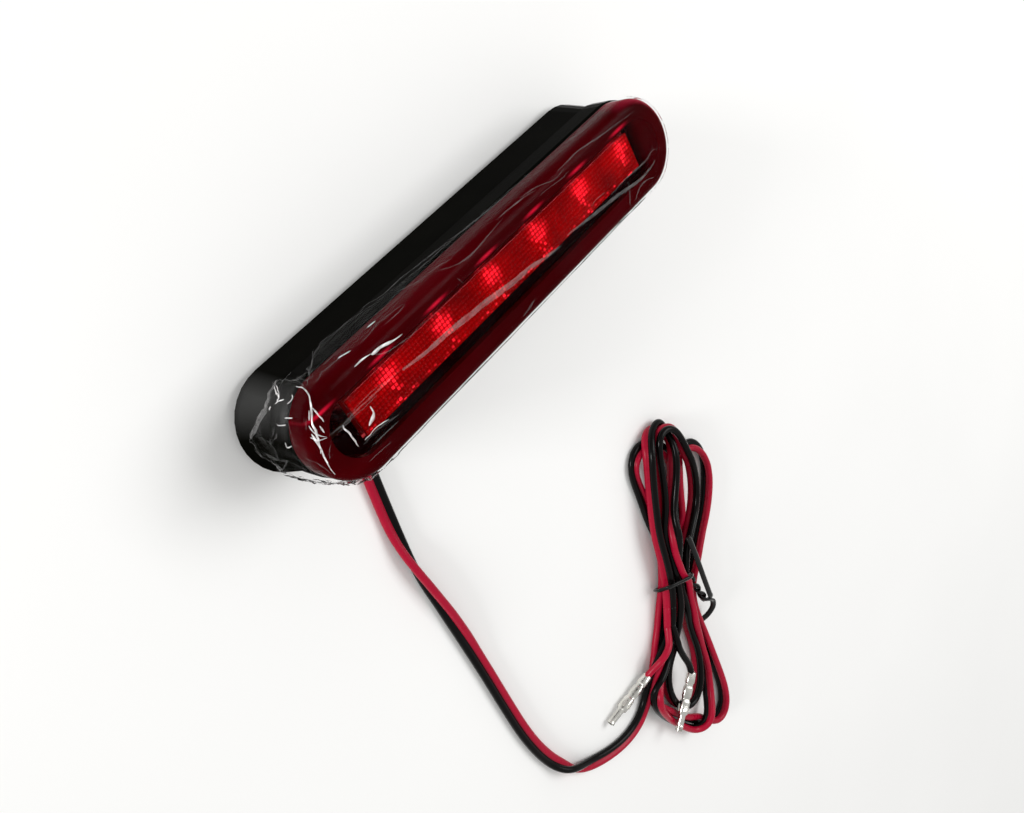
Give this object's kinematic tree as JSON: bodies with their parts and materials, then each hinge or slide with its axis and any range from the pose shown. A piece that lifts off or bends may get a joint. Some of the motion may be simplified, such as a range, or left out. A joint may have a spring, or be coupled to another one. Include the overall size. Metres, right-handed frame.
{
  "type": "third brake light",
  "caption": "Long round-ended surface-mount high stop lamp with a red lens over a silvered lamp trough, a flared black housing and a flat two-core lead ending in crimp terminals.",
  "frame": {"origin": "middle of the back gasket's mounting face, without the lead", "axes": "+X along the lamp, +Y away from the side that the lead leaves, +Z out of the mounting face towards the lens"},
  "size_m": [0.1556, 0.2409, 0.0347],
  "materials": {
    "black_foam": "closed-cell foam, dull",
    "black_plastic": "satin moulded black with a fine grain",
    "black_pvc": "black PVC insulation, slight gloss",
    "black_rubber": "soft moulded rubber, dull",
    "board_green": "green solder mask over glass-fibre board",
    "brass": "bright turned brass",
    "clear_film": "thin clear film, crumpled",
    "diode_black": "black epoxy body",
    "led_red": "clear red epoxy",
    "red_lens": "clear deep red acrylic, polished outside, fine square optics inside",
    "red_pvc": "crimson PVC insulation, slight gloss",
    "resistor_tan": "lacquered tan body",
    "silver_coat": "bright vacuum-coated plastic",
    "tin_plate": "bright tin plate over stamped brass",
    "zinc_steel": "bright zinc plate"
  },
  "bodies": {
    "root": {"back_gasket": "black_foam", "back_plate": "black_plastic", "back_screw_1": "zinc_steel", "back_screw_2": "zinc_steel", "back_screw_3": "zinc_steel", "back_screw_4": "zinc_steel", "circuit_board": "board_green", "cord_hank": "black_pvc", "cord_lead": "red_pvc", "diode": "diode_black", "grommet": "black_rubber", "housing": "black_plastic", "inner_wire_black": "black_pvc", "inner_wire_red": "red_pvc", "led_1": "led_red", "led_2": "led_red", "led_3": "led_red", "led_4": "led_red", "led_5": "led_red", "led_6": "led_red", "lens": "red_lens", "lens_seal": "black_rubber", "light_mask": "black_plastic", "mount_insert_far": "brass", "mount_insert_near": "brass", "protective_film": "clear_film", "reflector": "silver_coat", "reflector_screw_far": "zinc_steel", "reflector_screw_near": "zinc_steel", "resistor_1": "resistor_tan", "resistor_2": "resistor_tan", "tail_black": "black_pvc", "tail_red": "red_pvc", "terminal_black": "tin_plate", "terminal_red": "tin_plate", "twist_tie": "black_pvc"}
  },
  "joints": []
}
